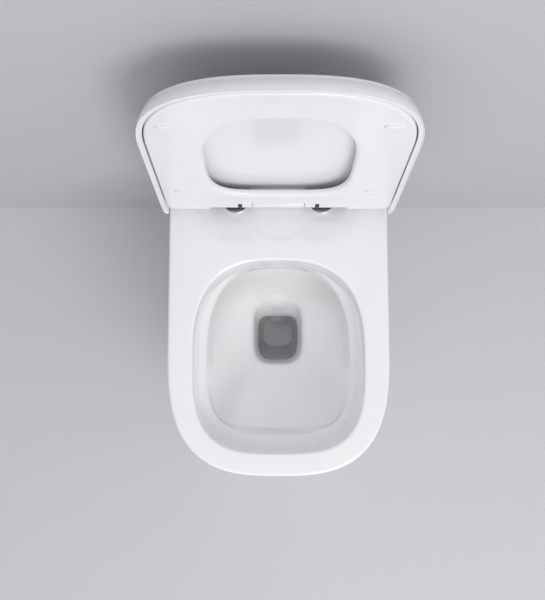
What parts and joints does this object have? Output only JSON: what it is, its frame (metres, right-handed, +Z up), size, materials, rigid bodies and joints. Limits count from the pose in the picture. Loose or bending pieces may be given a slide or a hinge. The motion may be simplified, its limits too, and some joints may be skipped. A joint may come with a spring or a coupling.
{
  "type": "back-to-wall toilet pan with seat and lid",
  "caption": "Floor-standing back-to-wall toilet pan with a squared bowl, a nested soft-close seat and wrap-over lid standing open, and its hinge and floor fixings.",
  "frame": {"origin": "on the floor, on the centre line, halfway between the wall face of the pan and the front of its rim", "axes": "+Z up, +Y towards the wall, +X to the right of someone who faces the wall"},
  "size_m": [0.3766, 0.54, 0.8666],
  "materials": {
    "vitreous_china": "gloss",
    "duroplast": "gloss",
    "buffer_rubber": "satin",
    "black_rubber": "matte",
    "chrome": "polished",
    "stainless": "satin",
    "brass": "satin",
    "grey_plastic": "satin",
    "button_plastic": "satin",
    "damper_plastic": "satin",
    "zinc_steel": "satin",
    "sleeve_plastic": "satin"
  },
  "bodies": {
    "pan": {"pan": "vitreous_china", "bowl": "vitreous_china", "trapway": "vitreous_china", "flush_horn": "vitreous_china", "hinge_plate_left": "chrome", "hinge_plate_right": "chrome", "plate_gaskets": "black_rubber", "hinge_post_left": "stainless", "hinge_post_right": "stainless", "expansion_sleeves": "black_rubber", "fixing_nuts": "brass", "hinge_block_left": "grey_plastic", "hinge_block_right": "grey_plastic", "seat_damper": "damper_plastic", "seat_pivot_pin": "stainless", "lid_damper": "damper_plastic", "lid_pivot_pin": "stainless", "floor_bracket_left": "zinc_steel", "floor_bracket_right": "zinc_steel", "side_screws": "zinc_steel", "side_sleeves": "sleeve_plastic", "side_caps": "chrome"},
    "seat": {"seat_ring": "duroplast", "seat_buffers": "buffer_rubber", "seat_damper_shaft": "stainless"},
    "lid": {"lid": "duroplast", "lid_buffers": "buffer_rubber", "lid_damper_shaft": "stainless"},
    "release_left": {"release_button_left": "button_plastic"},
    "release_right": {"release_button_right": "button_plastic"}
  },
  "joints": [
    {"name": "seat_hinge", "type": "hinge", "parent": "pan", "child": "seat", "pos_m": [0, 0.1717, 0.419], "axis": [-1, 0, 0], "range_deg": [-94, 0]},
    {"name": "lid_hinge", "type": "hinge", "parent": "seat", "child": "lid", "pos_m": [0, 0.1717, 0.419], "axis": [-1, 0, 0], "range_deg": [0, 90]},
    {"name": "release_left_press", "type": "slide", "parent": "pan", "child": "release_left", "axis": [0, -1, 0], "range_m": [0, 0.0015], "stiffness_N_per_m": 400},
    {"name": "release_right_press", "type": "slide", "parent": "pan", "child": "release_right", "axis": [0, -1, 0], "range_m": [0, 0.0015], "stiffness_N_per_m": 400}
  ]
}
